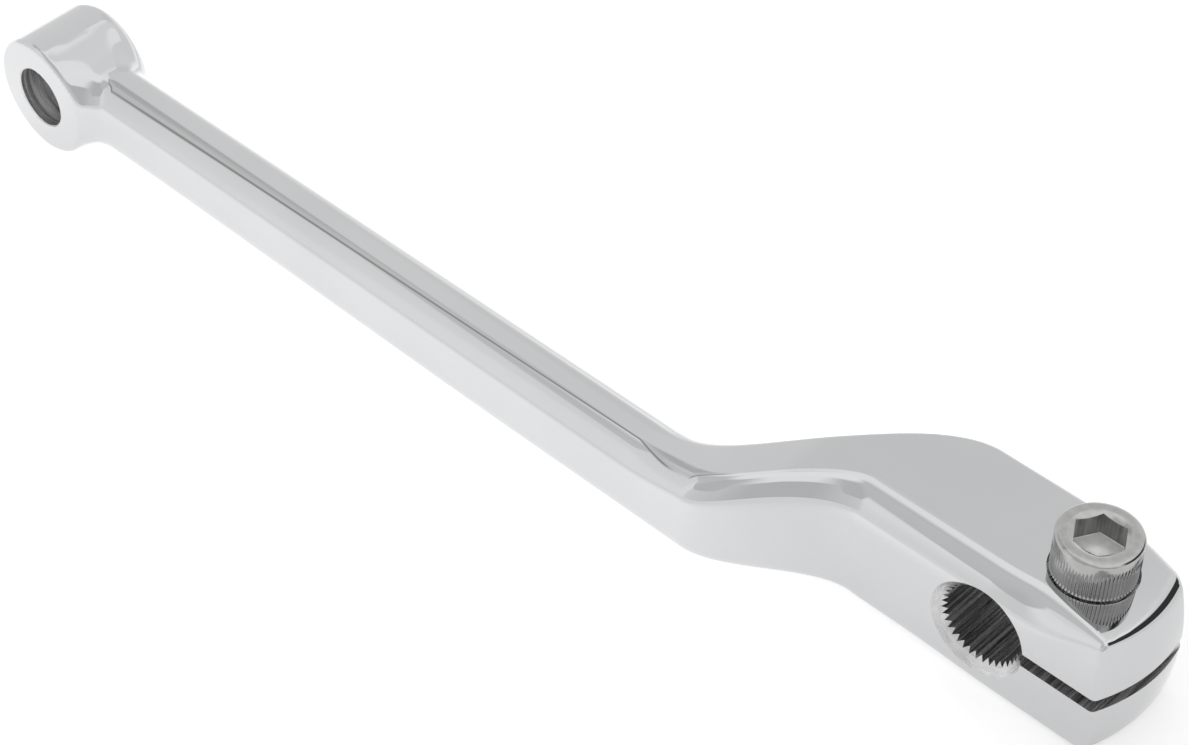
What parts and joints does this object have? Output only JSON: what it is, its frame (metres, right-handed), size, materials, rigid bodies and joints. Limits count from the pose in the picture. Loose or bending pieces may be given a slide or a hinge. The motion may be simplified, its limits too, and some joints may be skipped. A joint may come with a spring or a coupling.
{
  "type": "foot shift lever",
  "caption": "Polished foot lever: a long oval arm with a peg eye, a sideways step and a split, serrated clamp that a socket-head screw closes.",
  "frame": {"origin": "centre of the serrated bore, half way along it", "axes": "+X runs along the arm from the peg eye to the clamp, Y is the axis of both bores with the outboard side at -Y, +Z is the axis of the pinch screw and points out of its head"},
  "size_m": [0.2141, 0.0369, 0.0269],
  "materials": {
    "polished_chrome": "mirror-polished decorative chrome",
    "plated_screw": "chrome-plated steel, knurled head"
  },
  "bodies": {
    "arm": {"lever_arm": "polished_chrome"},
    "screw": {"pinch_screw": "plated_screw"}
  },
  "joints": [
    {"name": "screw_withdrawal", "type": "slide", "parent": "arm", "child": "screw", "axis": [0, 0, 1], "range_m": [0, 0.01693]}
  ]
}
